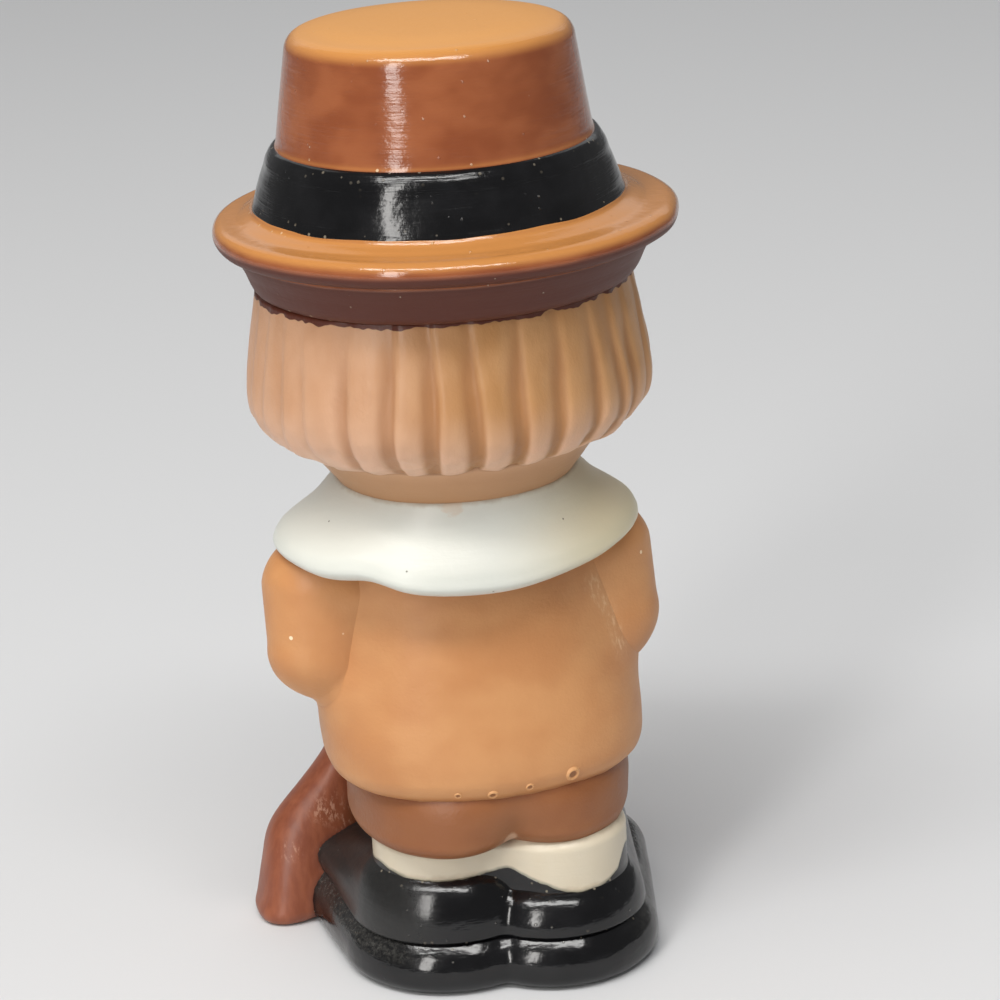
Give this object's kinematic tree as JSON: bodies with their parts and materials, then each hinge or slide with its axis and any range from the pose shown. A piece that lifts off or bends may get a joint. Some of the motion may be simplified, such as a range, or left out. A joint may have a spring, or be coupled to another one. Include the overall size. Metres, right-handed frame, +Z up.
{
  "type": "pilgrim figurine",
  "caption": "Standing ceramic pilgrim boy in a round brimmed hat, falling collar and bell coat, holding a flared musket beside the left foot; rests on a flat base.",
  "frame": {"origin": "centre of the bounding box in plan, on the floor under the sole", "axes": "+Z up through the hat, -Y the way the figure faces, +X its left side"},
  "size_m": [0.0546, 0.0552, 0.115],
  "materials": {
    "black_gloss": "gloss brushed black",
    "ivory_white": "satin off-white",
    "tan": "satin orange tan",
    "flesh": "satin flesh",
    "straw": "satin straw",
    "hat_brown": "gloss brushed brown",
    "walnut": "satin red brown",
    "iron_grey": "satin dark grey",
    "brass_yellow": "gloss yellow"
  },
  "bodies": {
    "root": {"sole": "black_gloss", "shoe_left": "black_gloss", "shoe_right": "black_gloss", "shoe_buckle_left": "brass_yellow", "shoe_buckle_right": "brass_yellow", "stocking_left": "ivory_white", "stocking_right": "ivory_white", "breeches": "tan", "coat": "tan", "coat_button_1": "brass_yellow", "coat_button_2": "brass_yellow", "coat_button_3": "brass_yellow", "sleeve_left": "tan", "sleeve_right": "tan", "cuff_left": "ivory_white", "cuff_right": "ivory_white", "hand_left": "flesh", "hand_right": "flesh", "collar": "ivory_white", "head": "flesh", "hair": "straw", "hat_brim": "hat_brown", "hat_band": "black_gloss", "hat_buckle": "brass_yellow", "hat_crown": "hat_brown", "musket_stock": "walnut", "musket_barrel": "iron_grey", "musket_lock": "iron_grey"}
  },
  "joints": []
}
